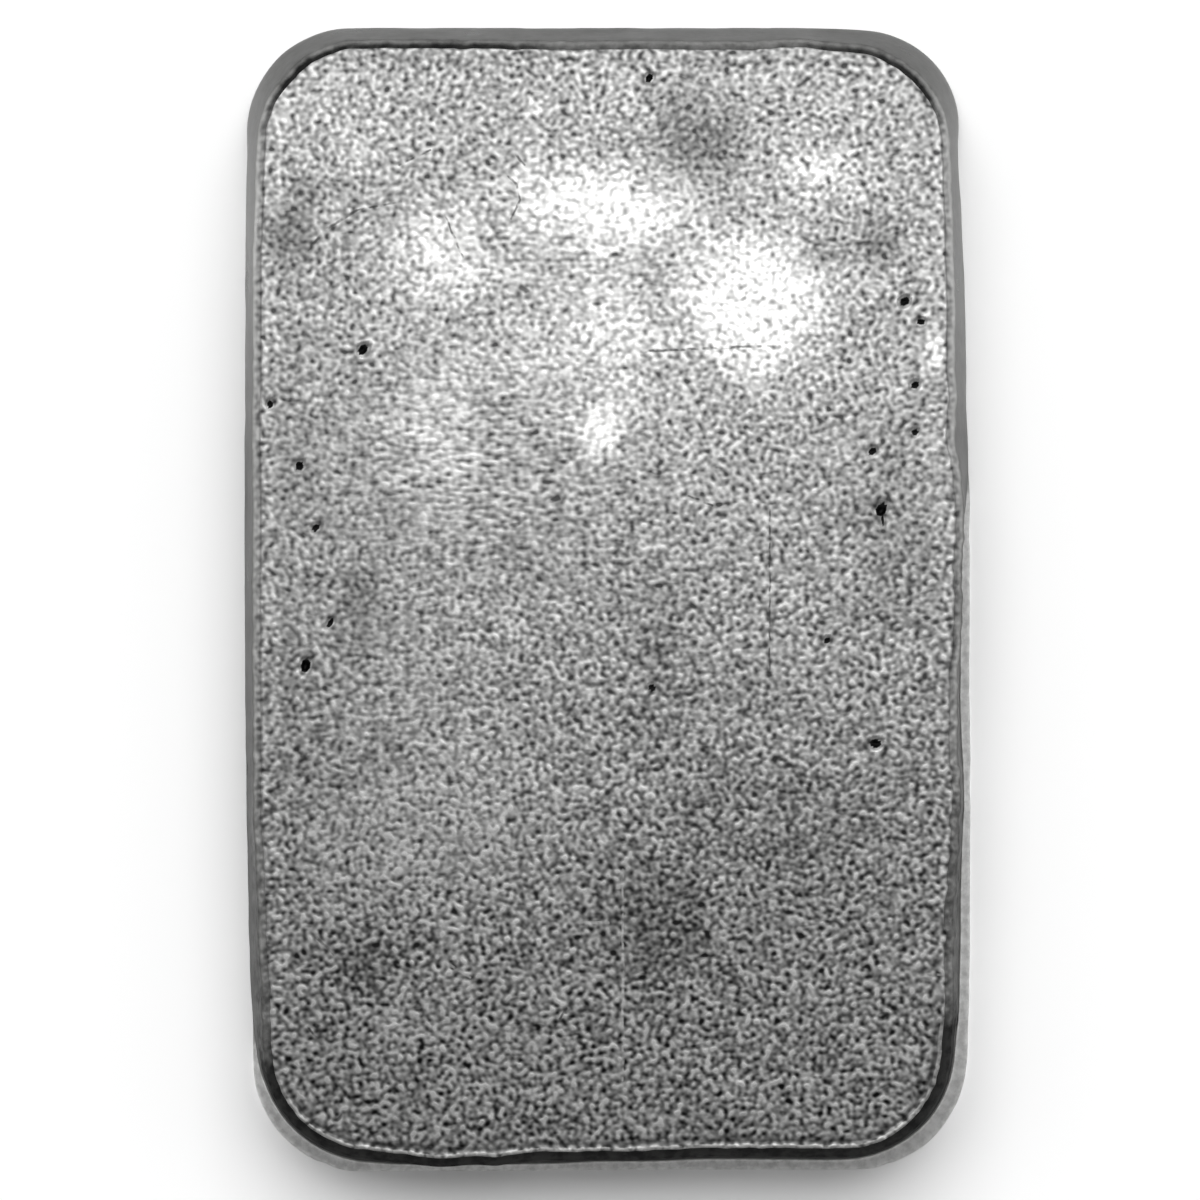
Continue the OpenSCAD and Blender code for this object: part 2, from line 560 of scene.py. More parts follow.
def periodic_noise(rng, perimeter, count, longest, shortest):
    """Smooth random values round the outline, with wavelengths between these, of about unit
    height."""
    turns = np.arange(max(1, round(perimeter / longest)), round(perimeter / shortest) + 1)
    phase = rng.uniform(0, 2 * math.pi, len(turns))
    weight = rng.normal(0, 1, len(turns)) / np.sqrt(turns)
    angle = np.linspace(0, 2 * math.pi, count, endpoint=False)[:, None] * turns + phase
    wave = (np.sin(angle) * weight).sum(1)
    return wave / wave.std()


def front_share(x, y):
    """1 along the front edge, from the step on each side, and 0 along the sides and the rear."""
    step = np.where(x > 0, STEP_RIGHT, STEP_LEFT)
    length = np.where(x > 0, STEP_RIGHT_LENGTH, STEP_LEFT_LENGTH)
    return 1 - smoothstep(y, step - length, step + length)


def turned_to(component):
    """1 where this component of the outline's outward direction is large, and 0 where it isn't."""
    return smoothstep(component, 0.1, 0.5)


def lip_share(outward, y):
    """How much of the lip is there: all of it at the front and up much of the right side."""
    front = turned_to(-outward[:, 1])
    right = turned_to(outward[:, 0]) * (1 - smoothstep(y, *LIP_END_RIGHT))
    left = turned_to(-outward[:, 0]) * (1 - smoothstep(y, *LIP_END_LEFT))
    return np.maximum.reduce([front, right, left])


def round_the_outline(x, y, listed):
    """The listed values, smoothly interpolated at these places round the outline."""
    count = len(x)
    marks = [np.argmin(np.hypot(x - row[0], y - row[1])) for row in listed]
    reach = 3
    smoother = np.full(2 * reach + 1, 1 / (2 * reach + 1))
    values = []
    for column in np.array(listed).T[2:]:
        found = np.interp(np.arange(count), marks, column, period=count)
        for _ in range(2):
            padded = np.concatenate([found[-reach:], found, found[:reach]])
            found = np.convolve(padded, smoother, "valid")
        values.append(found)
    return values


def corner_cut(bases, outward, out, extra):
    """The shift that makes the radius of the corners of the outline at this distance greater."""
    radius = out + extra
    corner = np.abs(bases).max(axis=0) - extra[:, None]
    away = np.abs(bases) - corner
    facing = np.abs(outward)
    along = (facing * away).sum(1)
    reach = np.maximum(along ** 2 - (away ** 2).sum(1) + radius ** 2, 0)
    rounded = np.sqrt(reach) - along
    in_corner = (np.abs(bases) + facing * out > corner).all(axis=1)
    return np.where(in_corner, np.minimum(rounded - out, 0), 0)


def notches(x, y):
    depth = np.zeros_like(x)
    for px, py, deepest, half_length in NOTCHES:
        reach = np.hypot(x - px, y - py) / half_length
        depth = np.maximum(depth, deepest * np.exp(-reach * reach))
    return depth


def edge_wander(crease_out, bases, outward, perimeter):
    """How far out of the section the crease, the wall's foot and the lip lie, round the outline.
    The section's crease is crease_out from the corner axes."""
    rng = np.random.default_rng(SEED)
    count = len(bases)
    x, y = (bases + outward * CORNER_RADIUS).T
    crease, foot, lip = round_the_outline(x, y, EDGE_SHIFTS)
    front = smoothstep(-y, 0, 20)
    crease_extra = np.full(count, CREASE_CORNER_EXTRA)
    foot_extra = REAR_OUTLINE_EXTRA + (FRONT_FOOT_EXTRA - REAR_OUTLINE_EXTRA) * front
    lip_extra = REAR_OUTLINE_EXTRA + (FRONT_OUTLINE_EXTRA - REAR_OUTLINE_EXTRA) * front
    crease += corner_cut(bases, outward, crease_out, crease_extra)
    foot += corner_cut(bases, outward, CORNER_RADIUS, foot_extra)
    lip += corner_cut(bases, outward, CORNER_RADIUS, lip_extra)

    ragged = smoothstep(outward[:, 0], 0.8, 1.0) * smoothstep(y, *RAGGED_START)
    ragged = ragged * (1 - smoothstep(y, *RAGGED_END))
    crease_wander = CREASE_WANDER + RAGGED_CREASE_WANDER * ragged
    crease += crease_wander * periodic_noise(rng, perimeter, count, *CREASE_WAVES)
    foot += FOOT_WANDER * periodic_noise(rng, perimeter, count, *FOOT_WAVES)
    lip += LIP_WANDER * periodic_noise(rng, perimeter, count, *LIP_WAVES) - notches(x, y)
    return crease, foot, np.minimum(lip, -OUTLINE_CLEARANCE)


def edge_rings(section, bases, outward, perimeter):
    """The rings of points from the crease to the pour face."""
    crease, foot, lip = edge_wander(section[0][0], bases, outward, perimeter)
    lip_there = lip_share(outward, (bases + outward * CORNER_RADIUS)[:, 1])[:, None]
    height = section[0][1]
    rings = []
    for with_lip, plain in zip(section, plain_section(section)):
        out, z = (lip_there * with_lip + (1 - lip_there) * plain).T
        down = np.clip((height - z) / (height - LIP_TOP), 0, 1)
        on_lip = 1 - smoothstep(z, 0.35, 0.75)
        shift = (1 - down) * crease + down * ((1 - on_lip) * foot + on_lip * lip)
        rings.append(np.column_stack([bases + outward * (out + shift)[:, None], z]))
    return rings


def inset_of_ring(points, ring):
    """How far inside the ring each point lies, up to INSET_LIMIT."""
    batch = 4000
    step = np.roll(ring, -1, axis=0) - ring
    inset = np.full(len(points), INSET_LIMIT)
    half = np.abs(ring).max(axis=0) - INSET_LIMIT - 1.0
    near = np.flatnonzero((np.abs(points) > half).any(axis=1))
    for start in range(0, len(near), batch):
        chosen = near[start : start + batch]
        away = points[chosen, None] - ring[None]
        nearest = np.argmin((away ** 2).sum(2), axis=1)
        for first in (nearest - 1, nearest):
            offset = points[chosen] - ring[first]
            share = (offset * step[first]).sum(1) / (step[first] ** 2).sum(1)
            offset = offset - np.clip(share, 0, 1)[:, None] * step[first]
            inset[chosen] = np.minimum(inset[chosen], np.linalg.norm(offset, axis=1))
    return inset


# ---- grids


def patch_grid(ring, columns, rows):
    """A grid of points that fills a ring of 2 * (columns + rows) points (a Coons patch)."""
    ring = np.concatenate([ring, ring[:1]])
    front = ring[: columns + 1]
    right = ring[columns : columns + rows + 1]
    back = ring[columns + rows : 2 * columns + rows + 1][::-1]
    left = ring[2 * columns + rows :][::-1]
    u = np.linspace(0, 1, columns + 1)[None, :, None]
    v = np.linspace(0, 1, rows + 1)[:, None, None]
    across = (1 - u) * left[:, None] + u * right[:, None]
    along = (1 - v) * front[None] + v * back[None]
    low_corners = (1 - v) * ((1 - u) * front[0] + u * front[-1])
    high_corners = v * ((1 - u) * back[0] + u * back[-1])
    return (across + along - low_corners - high_corners).reshape(-1, 2)


def grid_index(columns, rows):
    return np.arange((columns + 1) * (rows + 1)).reshape(rows + 1, columns + 1)


def ring_order(columns, rows):
    """Grid indices of the points round a grid's border, in the order of stations()."""
    index = grid_index(columns, rows)
    return np.concatenate([index[0, :-1], index[:-1, -1], index[-1, :0:-1], index[:0:-1, 0]])


def grid_quads(columns, rows):
    index = grid_index(columns, rows)
    corners = [index[:-1, :-1], index[:-1, 1:], index[1:, 1:], index[1:, :-1]]
    return np.stack([c.ravel() for c in corners], 1)


def strip_quads(upper, lower):
    """Quads between two rings with as many points, facing out."""
    return np.stack([upper, lower, np.roll(lower, -1), np.roll(upper, -1)], 1)


def halving_faces(outer, inner):
    """Triangles between a ring and one with half as many points, facing down."""
    first = outer[0::2]
    middle = outer[1::2]
    last = np.roll(first, -1)
    ahead = np.roll(inner, -1)
    triangles = [(first, inner, middle), (middle, inner, ahead), (middle, ahead, last)]
    return np.concatenate([np.stack(t, 1) for t in triangles])


# ---- the mould face


def patches(x, y, listed):
    """How strongly a place lies in the listed soft patches, from 0 to 1."""
    total = np.zeros_like(x)
    for px, py, rx, ry, strength in listed:
        reach = ((x - px) / rx) ** 2 + ((y - py) / ry) ** 2
        total = np.maximum(total, strength * np.exp(-reach))
    return total


def oxide_and_shade_share(y):
    """How dark the oxide and painted shade in the grain's hollows are, darkest towards the front.
    """
    return 1 - smoothstep(y, *OXIDE_AND_SHADE_END)


def pit_depths(x, y):
    depth = np.zeros_like(x)
    for px, py, along, across, turn, deepest in PITS:
        c = math.cos(math.radians(turn))
        s = math.sin(math.radians(turn))
        u = (x - px) * c + (y - py) * s
        v = (y - py) * c - (x - px) * s
        reach = np.hypot(u / along, v / across)
        depth = np.maximum(depth, deepest * (1 - smoothstep(reach, 0.35, 1.15)))
    return depth


def drawn_to_pits(points):
    """The points of the face, drawn together round each pit so that its walls are well made."""
    drawn = points.copy()
    for px, py, along, *_ in PITS:
        reach = 4.0 * along
        away = drawn - (px, py)
        distance = np.linalg.norm(away, axis=1)
        near = distance < reach
        pull = 0.5 + 0.5 * smoothstep(distance[near], 0, reach)
        drawn[near] = (px, py) + away[near] * pull[:, None]
    return drawn


def face_relief(flat, inset, front, wear_and_glare):
    """How far the mould face stands above the crease, but for its pits. Grain, dents and waves
    fade out towards the crease, and the bead and the gutter run along the front just inside it."""
    level = np.column_stack([flat, np.zeros(len(flat))])
    relief = GRAIN_DEPTH * (1 - 0.5 * wear_and_glare) * sampled(level, coarse_grain)
    relief *= smoothstep(inset, 0.0, 0.4)
    swells = DENT_HEIGHT * sampled(level, lumps(DENT_PITCH))
    swells += WAVE_HEIGHT * sampled(level, lumps(WAVE_PITCH))
    relief += swells * smoothstep(inset, 0.0, INSET_LIMIT)
    bead = BEAD_HEIGHT * (0.7 + 0.9 * sampled(level, lumps(BEAD_LUMP_PITCH)))
    bead *= np.exp(-(((inset - BEAD_INSET) / BEAD_WIDTH) ** 2))
    bead *= BEAD_AT_SIDES + (1 - BEAD_AT_SIDES) * front
    gutter = front * np.exp(-(((inset - GUTTER_INSET) / GUTTER_WIDTH) ** 2))
    sunk = np.maximum(front, smoothstep(inset, 0.0, SINK_LENGTH))
    sink = FACE_SINK * (SINK_AT_CREASE + (1 - SINK_AT_CREASE) * sunk)
    return relief + bead - sink - GUTTER_DEPTH * gutter


def mould_face(crease_ring, height):
    """The points of the mould face and the values that its material reads at them."""
    flat = patch_grid(crease_ring, SHORT_SIDE_CELLS, LONG_SIDE_CELLS)
    inside = np.ones(len(flat), bool)
    inside[ring_order(SHORT_SIDE_CELLS, LONG_SIDE_CELLS)] = False
    flat[inside] = drawn_to_pits(flat[inside])
    x, y = flat.T
    values = {
        "wear_and_glare": patches(x, y, WEAR_AND_GLARE_PATCHES),
        "dark": patches(x, y, DARK_PATCHES),
        "pit": pit_depths(x, y),
        "ripple": patches(x, y, RIPPLE_PATCHES),
        "oxide_and_shade": oxide_and_shade_share(y),
        "inset": inset_of_ring(flat, crease_ring),
        "front": front_share(x, y),
    }
    relief = face_relief(flat, values["inset"], values["front"], values["wear_and_glare"])
    z = np.minimum(height + relief - values["pit"], height)
    return np.column_stack([flat, z]), values


# ---- the ingot


class MeshParts:
    """Gathers points, values at the points, and faces with their materials, for one mesh."""

    def __init__(self):
        self.points = []
        self.faces = []
        self.materials = []
        self.values = []
        self.size = 0

    def add_points(self, points, values=None):
        index = np.arange(self.size, self.size + len(points))
        self.points.append(points)
        self.values.append(values or {})
        self.size += len(points)
        return index

    def add_faces(self, faces, material):
        self.faces += faces.tolist()
        self.materials += [material] * len(faces)

    def finish(self, name, value_names):
        mesh = bpy.data.meshes.new(name)
        mesh.from_pydata((np.concatenate(self.points) * MM).tolist(), [], self.faces)
        mesh.polygons.foreach_set("material_index", self.materials)
        mesh.shade_smooth()
        for value_name in value_names:
            filled = [
                values.get(value_name, np.zeros(len(points)))
                for points, values in zip(self.points, self.values)
            ]
            layer = mesh.attributes.new(value_name, "FLOAT", "POINT")
            layer.data.foreach_set("value", np.concatenate(filled).astype(np.float32))
        mesh.update()
        piece = bpy.data.objects.new(name, mesh)
        bpy.context.scene.collection.objects.link(piece)
        return piece


def pour_face(ring, columns, rows):
    """The points of the pour face, which is a shallow dish."""
    flat = patch_grid(ring, columns, rows)
    reach = np.abs(flat).max(axis=0)
    dish = np.clip(1 - (np.abs(flat) / reach) ** 4, 0, 1).prod(axis=1)
    level = np.column_stack([flat, np.zeros(len(flat))])
    lumpy = sampled(level, lumps(DISH_LUMP_PITCH, detail=2.0))
    depth = dish * (DISH_DEPTH + DISH_LUMP_HEIGHT * lumpy)
    return np.column_stack([flat, np.clip(depth, 0, None)])


def down_the_rows(shares, rows):
    """The listed shares, then zeros for the rows further down."""
    return shares + (0.0,) * (rows - len(shares))


def wall_values(rings, bases, outward):
    """The values that the wall's material reads on each of the edge's rings."""
    x, y = (bases + outward * CORNER_RADIUS).T
    # The first column is painted shade: the front wall's dark band and the dark step low on the
    # right, painted into the colour as the dark reflection there
    painted_shade, line, painted_sheen = round_the_outline(x, y, EDGE_TONES)
    lip_there = lip_share(outward, y)
    sides = smoothstep(np.abs(outward[:, 0]), 0.8, 1.0) * (1 - painted_shade)
    # Painted shade low on the wall at its foot, where contact shade falls
    foot_shade = patches(x, y, FOOT_SHADE_PATCHES)
    # The line column is a painted shade line just under the crease, strongest on its top rows
    crease_shade_by_row = down_the_rows(CREASE_SHADE_BY_ROW, len(rings))
    grain_by_row = down_the_rows(GRAIN_BY_ROW, len(rings))
    values = []
    for ring, crease_shade_here, grain_here in zip(rings, crease_shade_by_row, grain_by_row):
        z = ring[:, 2]
        high_painted_shade = painted_shade * smoothstep(z, *PAINTED_SHADE_FOOT)
        low_foot_shade = foot_shade * (1 - smoothstep(z, *FOOT_SHADE_TOP))
        low = 1 - smoothstep(z, 0.5, 6.0)
        ring_values = {
            "lip": lip_there * (1 - smoothstep(z, *LIP_LOOK_TOP)),
            "painted_shade": np.maximum.reduce([high_painted_shade, low_foot_shade, line * crease_shade_here]),
            # Painted sheen: the side walls towards the rear are paler, as if lit more, most on the
            # lower wall
            "painted_sheen": painted_sheen * (0.6 + 0.4 * low),
            "over": sides * grain_here,
            "oxide_and_shade": oxide_and_shade_share(y),
        }
        values.append(ring_values)
    return values


def add_mould_face(parts, crease, crease_values, height):
    """Adds the mould face, whose border has the wall's values too. Returns the border."""
    points, values = mould_face(crease[:, :2], height)
    border = ring_order(SHORT_SIDE_CELLS, LONG_SIDE_CELLS)
    for name, border_values in crease_values.items():
        if name not in values:
            values[name] = np.zeros(len(points))
            values[name][border] = border_values
    index = parts.add_points(points, values)
    parts.add_faces(grid_quads(SHORT_SIDE_CELLS, LONG_SIDE_CELLS), FACE_SLOT)
    return index[border]


def add_edge(parts, upper, rings, ring_values):
    """Adds the edge below the ring of points upper. Returns its last ring."""
    for ring, values in zip(rings, ring_values):
        lower = parts.add_points(ring, values)
        parts.add_faces(strip_quads(upper, lower), WALL_SLOT)
        upper = lower
    return upper


def add_pour_face(parts, edge, foot, outward):
    """Closes the mesh below its last ring of points, edge, which lie at foot."""
    half_place = (foot - HALF_BAND_INSET * outward)[::2]
    half = parts.add_points(np.column_stack([half_place, np.zeros(len(half_place))]))
    parts.add_faces(halving_faces(edge, half), POUR_SLOT)
    inner_place = (foot - UNDERSIDE_INSET * outward)[::UNDERSIDE_SHARE]
    columns = SHORT_SIDE_CELLS // UNDERSIDE_SHARE
    rows = LONG_SIDE_CELLS // UNDERSIDE_SHARE
    index = parts.add_points(pour_face(inner_place, columns, rows))
    parts.add_faces(halving_faces(half, index[ring_order(columns, rows)]), POUR_SLOT)
    parts.add_faces(index[0] + grid_quads(columns, rows)[:, ::-1], POUR_SLOT)


def build_ingot():
    low, high = (np.array(corner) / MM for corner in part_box("ingot"))
    height = high[2] - low[2]
    corner_x, corner_y = (high[:2] - low[:2]) / 2 - CORNER_RADIUS
    section = edge_section(height)
    crease_out = section[0][0]
    bases, outward = stations(corner_x, corner_y, crease_out)
    perimeter = 4 * (corner_x + corner_y) + 2 * math.pi * crease_out
    rings = edge_rings(section, bases, outward, perimeter)
    ring_values = wall_values(rings, bases, outward)

    parts = MeshParts()
    border = add_mould_face(parts, rings[0], ring_values[0], height)
    edge = add_edge(parts, border, rings[1:], ring_values[1:])
    add_pour_face(parts, edge, rings[-1][:, :2], outward)
    return parts.finish("cast_ingot", FACE_VALUES + WALL_VALUES)


# ---- the materials


# Colours of the metal, of what lies on it, and of painted shade and painted highlight.
# Noise blends the two of a list.
WORN_TOP = (0.97, 0.97, 0.96, 1)
DARKER_TOP = (0.68, 0.68, 0.67, 1)
# Hollows of the grain: oxide and painted shade, black towards the front
GREY_HOLLOW = (0.12, 0.12, 0.12, 1)
BLACK_HOLLOW = (0.01, 0.01, 0.01, 1)
CRACK = (0.06, 0.06, 0.06, 1)
SCRATCH = (0.95, 0.95, 0.94, 1)
# Painted shade at the bottom of the pits
PIT_PAINTED_SHADE = (0.02, 0.02, 0.02, 1)
# Painted shade in the gutter inside the front bead
GUTTER_PAINTED_SHADE = (0.07, 0.07, 0.07, 1)
# Painted highlight on the front bead, partly burnished metal
BEAD_PAINTED_HIGHLIGHT = (0.55, 0.55, 0.54, 1)
WALL_METALS = [(0.32, 0.32, 0.315, 1), (0.18, 0.18, 0.175, 1)]
# Painted sheen: paler wall colours for the sides towards the rear
PAINTED_SHEEN_METALS = [(0.80, 0.80, 0.79, 1), (0.58, 0.58, 0.57, 1)]
# Painted shade of the front wall and under the crease, as dark matt colours
PAINTED_SHADE_COLOURS = [(0.050, 0.050, 0.049, 1), (0.026, 0.026, 0.026, 1)]
LIP_METALS = [(0.70, 0.70, 0.69, 1), (0.97, 0.97, 0.96, 1)]
POUR_METALS = [(0.72, 0.72, 0.70, 1), (0.5, 0.5, 0.49, 1)]


def new_material(name):
    material = bpy.data.materials.new(name)
    material.use_nodes = True
    material.node_tree.nodes.clear()
    graph = Graph(material.node_tree)
    coords = graph.add("ShaderNodeTexCoord").outputs["Object"]
    place = graph.vector("SCALE", coords, scale=1 / MM)
    return material, graph, place


def finish_material(graph, colour, roughness, height, edge_tint=1.0, metallic=1.0):
    """Ends a metal's nodes. height is in millimetres, and edge_tint is how much of the light
    that only grazes the surface it reflects. Where metallic is 0 the surface is matt."""
    bump = graph.add("ShaderNodeBump", {"Height": height, "Distance": MM, "Strength": 1.0})
    values = {"Metallic": metallic, "Roughness": roughness, "Normal": bump.outputs[0]}
    shader = graph.add("ShaderNodeBsdfPrincipled", values)
    shader.inputs["Specular IOR Level"].default_value = 0.0
    shader.inputs["Specular Tint"].default_value = (edge_tint, edge_tint, edge_tint, 1)
    graph.feed(shader.inputs["Base Color"], colour)
    out = graph.add("ShaderNodeOutputMaterial")
    graph.tree.links.new(shader.outputs[0], out.inputs["Surface"])


def attribute(graph, name):
    return graph.add("ShaderNodeAttribute", attribute_name=name).outputs["Fac"]


def all_lines(graph, place, listed):
    """Thin broken lines in the face."""
    jitter = graph.noise(place, 0.8, detail=1.0, flat=True)
    moved = graph.vector("ADD", place, graph.vector("SCALE", (0.08, 0.06, 0.0), scale=jitter))
    flattened = graph.vector("MULTIPLY", moved, (1.0, 1.0, 0.0))
    total = 0.0
    for line in listed:
        total = graph.math("MAXIMUM", total, graph.line(flattened, *line))
    whole = graph.ramp(graph.noise(place, 0.55, detail=1.0, flat=True), -0.35, 0.25, 0.15, 1.0)
    return graph.math("MULTIPLY", total, whole)


def grained_metal(graph, lifted, dark):
    """The colour of the grain: bright on its worn tops, with dark oxide and painted shade in its
    hollows.
    """
    oxide_and_shade = attribute(graph, "oxide_and_shade")
    worn = graph.share(graph.total(lifted, (0.27, oxide_and_shade)), -1.16, 0.98)
    worn = graph.math("POWER", worn, graph.total(1.05, (0.95, oxide_and_shade)))
    tops = graph.blend_colour(dark, WORN_TOP, DARKER_TOP)
    # The hollows are dark partly with oxide and partly with painted shade, deepest towards the
    # front
    hollows = graph.blend_colour(oxide_and_shade, GREY_HOLLOW, BLACK_HOLLOW)
    return graph.blend_colour(worn, hollows, tops)


def bead_shade_and_highlight(graph, place):
    """How strongly a place lies in the gutter's painted shade and on the bead's painted highlight
    inside the crease at the front.
    """
    front = attribute(graph, "front")
    lumpy = lumps(BEAD_LUMP_PITCH)(graph, place)
    inset = graph.total(attribute(graph, "inset"), (0.06, lumpy))
    broken = graph.ramp(graph.noise(place, 0.45, detail=1.0, flat=True), -0.5, 0.3, 0.1, 1.0)
    past_crest = graph.math("SUBTRACT", inset, BEAD_INSET)
    on_bead = graph.ramp(past_crest, 0.06, 0.16, 1.0, 0.0)
    bead = graph.math("MULTIPLY", graph.math("MULTIPLY", on_bead, broken), front)
    past_bead = graph.ramp(inset, 0.22, 0.32)
    in_gutter = graph.math("MULTIPLY", past_bead, graph.ramp(inset, 0.45, 0.75, 1.0, 0.0))
    gutter = graph.math("MULTIPLY", graph.math("MULTIPLY", in_gutter, 0.55), front)
    return gutter, bead


def lifted_grain(graph, place, height, wear_and_glare, dark):
    """The grain's height, raised where the face is worn and where the painted highlight of the
    glare falls, lowered where the face is darker, and varied by a mottle and a few dark flecks."""
    mottle = graph.noise(place, 2.3, detail=2.0, roughness=0.6, flat=True)
    fleck = graph.noise(place, 0.7, detail=1.0, stretch=(0.5, 1, 1), flat=True)
    fleck = graph.ramp(fleck, 0.35, 0.65)
    return graph.total(height, (0.75, wear_and_glare), (0.40, mottle), (-0.15, dark), (-0.55, fleck))


def marked_metal(graph, place, metal):
    """The colour of the grained metal with the lines on it, painted shade in the pits and the
    gutter, and a painted highlight on the bead.
    """
    cracks = graph.math("MULTIPLY", all_lines(graph, place, DARK_LINES), 0.75)
    scratches = graph.math("MULTIPLY", all_lines(graph, place, BRIGHT_LINES), 0.6)
    pit_shade = graph.ramp(attribute(graph, "pit"), 0.02, 0.10)
    gutter, bead = bead_shade_and_highlight(graph, place)
    metal = graph.blend_colour(cracks, metal, CRACK)
    metal = graph.blend_colour(scratches, metal, SCRATCH)
    # Painted shade in the pits
    metal = graph.blend_colour(pit_shade, metal, PIT_PAINTED_SHADE)
    # Painted shade in the gutter inside the front bead
    metal = graph.blend_colour(gutter, metal, GUTTER_PAINTED_SHADE)
    # Painted highlight on the bead along the front, partly burnished metal
    return graph.blend_colour(bead, metal, BEAD_PAINTED_HIGHLIGHT)


def face_material():
    """Grained metal whose tops are worn bright, with a painted highlight where the glare falls,
    and whose hollows hold dark oxide and painted shade.
    """
    material, graph, place = new_material("mould_face")
    height = grain(graph, place, attribute(graph, "ripple"))
    clouds = graph.noise(place, 6.0, detail=4.0, roughness=0.6)
    # Worn patches with a painted highlight where the glare falls: the grain there is lifted to its
    # bright tops
    wear_and_glare = graph.ramp(graph.total(attribute(graph, "wear_and_glare"), (0.45, clouds)), 0.05, 0.95)
    dark = graph.ramp(graph.total(attribute(graph, "dark"), (0.35, clouds)), 0.05, 0.95)
    lifted = lifted_grain(graph, place, height, wear_and_glare, dark)
    metal = marked_metal(graph, place, grained_metal(graph, lifted, dark))
    worn = graph.share(lifted, -1.2, 1.2)
    rough = graph.total(0.42, (-0.08, worn), (-0.06, wear_and_glare), (0.05, dark))

    flatter = graph.total(GRAIN_BUMP, (-0.5 * GRAIN_BUMP, wear_and_glare))
    fine = graph.noise(place, 0.16, detail=2.0)
    relief = graph.total(graph.math("MULTIPLY", height, flatter), (0.0012, fine))
    finish_material(graph, metal, rough, relief)
    return material


def bare_wall(graph, place, smoky):
    """The colour of the wall under its painted shade, with a painted sheen on the sides towards
    the rear. Near the crease the mould face's grain runs on over it.
    """
    metal = graph.blend_colour(smoky, *WALL_METALS)
    painted_sheen_metal = graph.blend_colour(smoky, *PAINTED_SHEEN_METALS)
    metal = graph.blend_colour(attribute(graph, "painted_sheen"), metal, painted_sheen_metal)
    grained = grained_metal(graph, grain(graph, place, 0.0), 0.8)
    return graph.blend_colour(attribute(graph, "over"), metal, grained)


def ragged_painted_shade(graph, streaks, spots):
    """How much painted shade the wall has, with a ragged border to it."""
    painted_shade = attribute(graph, "painted_shade")
    ragged = graph.total(painted_shade, (0.25, graph.math("ADD", streaks, spots)))
    return graph.math("MULTIPLY", graph.ramp(ragged, 0.0, 0.75), graph.ramp(painted_shade, 0.0, 0.15))


def wall_material():
    """Cast metal with painted shade, dark and matt, on its front and under the crease, and a matt
    lip.
    The painted shade is in the colour, so it is as dark from every side."""
    material, graph, place = new_material("mould_wall")
    streaks = graph.noise(place, 0.9, detail=3.0, stretch=(1, 1, 0.15))
    clouds = graph.noise(place, 4.0, detail=4.0, roughness=0.6)
    spots = graph.noise(place, 0.7, detail=3.0)
    cast = graph.noise(place, 0.45, detail=3.0, roughness=0.6)
    fine = graph.noise(place, 0.12, detail=2.0)
    # Painted shade: the dark band of the front wall, painted dark and matt into the colour
    painted_shade = ragged_painted_shade(graph, streaks, spots)
    lip = graph.ramp(graph.total(attribute(graph, "lip"), (0.2, spots)), 0.2, 0.8)

    smoky = graph.total(0.5, (0.4, clouds), (0.3, streaks))
    smoky = graph.math("MULTIPLY_ADD", cast, 0.6, smoky, clamp=True)
    painted_shade_mottle = graph.ramp(graph.total(smoky, (0.6, streaks)), 0.25, 0.85)
    mottled = graph.ramp(graph.math("ADD", spots, cast), -0.7, 0.6)
    metal = bare_wall(graph, place, smoky)
    metal = graph.blend_colour(painted_shade, metal, graph.blend_colour(painted_shade_mottle, *PAINTED_SHADE_COLOURS))
    metal = graph.blend_colour(lip, metal, graph.blend_colour(mottled, *LIP_METALS))

    rough = graph.total(0.30, (0.08, clouds), (0.30, lip))
    relief = graph.math("MULTIPLY", streaks, 0.008)
    relief = graph.total(relief, (0.010, spots), (0.0015, fine))
    matt_painted_shade = graph.math("MULTIPLY", painted_shade, 0.86)
    matt_lip = graph.math("MULTIPLY", lip, 0.9)
    metallic = graph.math("SUBTRACT", 1.0, graph.math("MAXIMUM", matt_painted_shade, matt_lip))
    finish_material(graph, metal, rough, relief, edge_tint=0.35, metallic=metallic)
    return material


def pour_material():
    material, graph, place = new_material("pour_face")
    clouds = graph.noise(place, 6.0, detail=4.0)
    crystals = graph.noise(place, 1.4, detail=3.0, roughness=0.6)
    smoky = graph.math("MULTIPLY_ADD", clouds, 0.5, 0.5, clamp=True)
    metal = graph.blend_colour(smoky, *POUR_METALS)
    rough = graph.total(0.33, (0.1, clouds))
    relief = graph.math("MULTIPLY", crystals, 0.02)
    finish_material(graph, metal, rough, relief)
    return material


# ---- the studio


# How bright the room is. Matt things get less light from the front than metal does, which leaves
# the floor's shadow dark.
FRONT_FOR_MATT = 0.16
FRONT_FOR_METAL = 0.21
REAR = 0.75
HORIZON_FOR_METAL = 0.75
OVERHEAD_SHARE = 0.2


def link_aimed(obj, place_m, target_m):
    obj.location = place_m
    direction = Vector(target_m) - Vector(place_m)
    obj.rotation_euler = direction.to_track_quat("-Z", "Y").to_euler()
    bpy.context.scene.collection.objects.link(obj)


